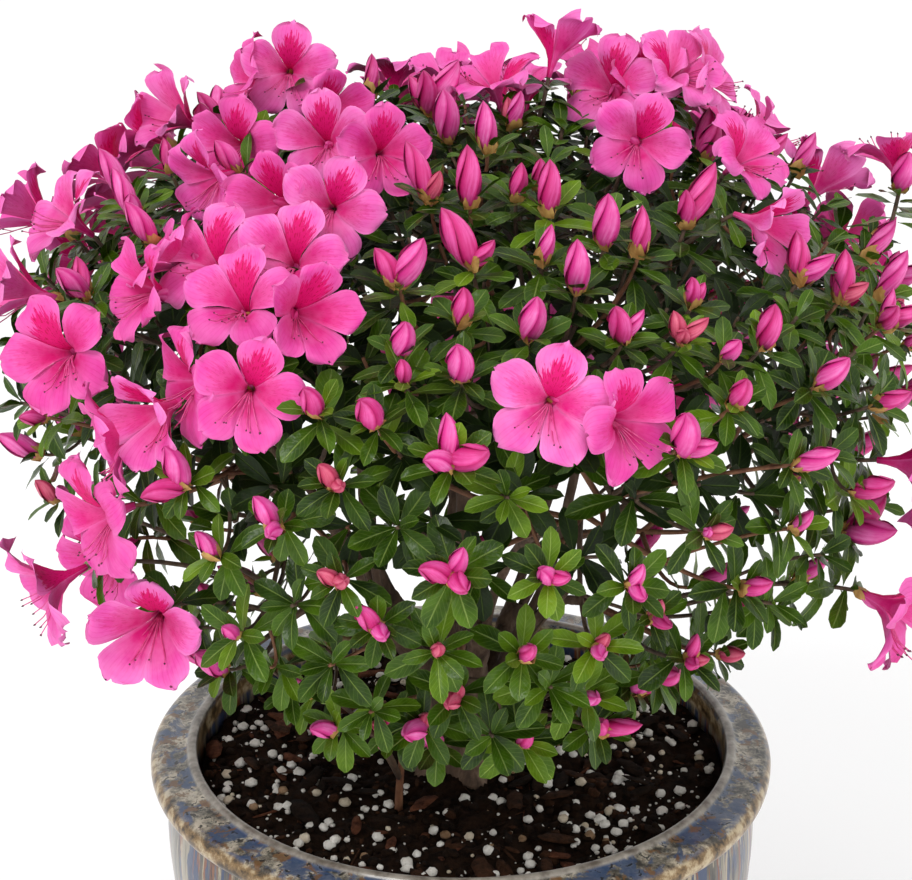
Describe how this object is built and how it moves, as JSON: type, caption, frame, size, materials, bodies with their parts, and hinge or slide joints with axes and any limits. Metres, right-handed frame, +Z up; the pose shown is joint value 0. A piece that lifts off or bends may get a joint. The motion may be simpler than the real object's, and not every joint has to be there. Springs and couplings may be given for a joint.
{
  "type": "potted azalea shrub",
  "caption": "Rounded evergreen shrub in bloom, with small leaves, buds and funnel flowers on many fine boughs, standing in a round glazed pot of potting mix.",
  "frame": {"origin": "centre of the pot's flat underside", "axes": "+Z up along the pot's axis, -Y towards the front of the shrub"},
  "size_m": [0.4617, 0.473, 0.5983],
  "materials": {
    "pot_glaze": "glossy mottled blue, grey and brown glaze with fine runs",
    "potting_mix": "rough moist bark and peat",
    "perlite": "matt",
    "bark": "matt, finely ridged",
    "foliage": "satin",
    "blossom": "soft, slightly translucent"
  },
  "bodies": {
    "root": {"bough_1": "bark", "bough_2": "bark", "bough_3": "bark", "bough_4": "bark", "bough_5": "bark", "bough_6": "bark", "bough_middle": "bark", "branch_low_1": "bark", "branch_low_2": "bark", "branch_low_3": "bark", "branch_low_4": "bark", "branch_low_5": "bark", "branch_low_6": "bark", "branch_middle_1": "bark", "branch_middle_2": "bark", "branch_middle_3": "bark", "branch_middle_4": "bark", "branch_middle_5": "bark", "branch_middle_6": "bark", "branch_upper_1": "bark", "branch_upper_2": "bark", "branch_upper_3": "bark", "branch_upper_4": "bark", "branch_upper_5": "bark", "foliage_low_1": "foliage", "foliage_low_2": "foliage", "foliage_low_3": "foliage", "foliage_low_4": "foliage", "foliage_low_5": "foliage", "foliage_low_6": "foliage", "foliage_middle_1": "foliage", "foliage_middle_2": "foliage", "foliage_middle_3": "foliage", "foliage_middle_4": "foliage", "foliage_middle_5": "foliage", "foliage_middle_6": "foliage", "foliage_sucker": "foliage", "foliage_top": "foliage", "foliage_upper_1": "foliage", "foliage_upper_2": "foliage", "foliage_upper_3": "foliage", "foliage_upper_4": "foliage", "foliage_upper_5": "foliage", "pot": "pot_glaze", "soil": "potting_mix", "stem": "bark"}
  },
  "joints": []
}
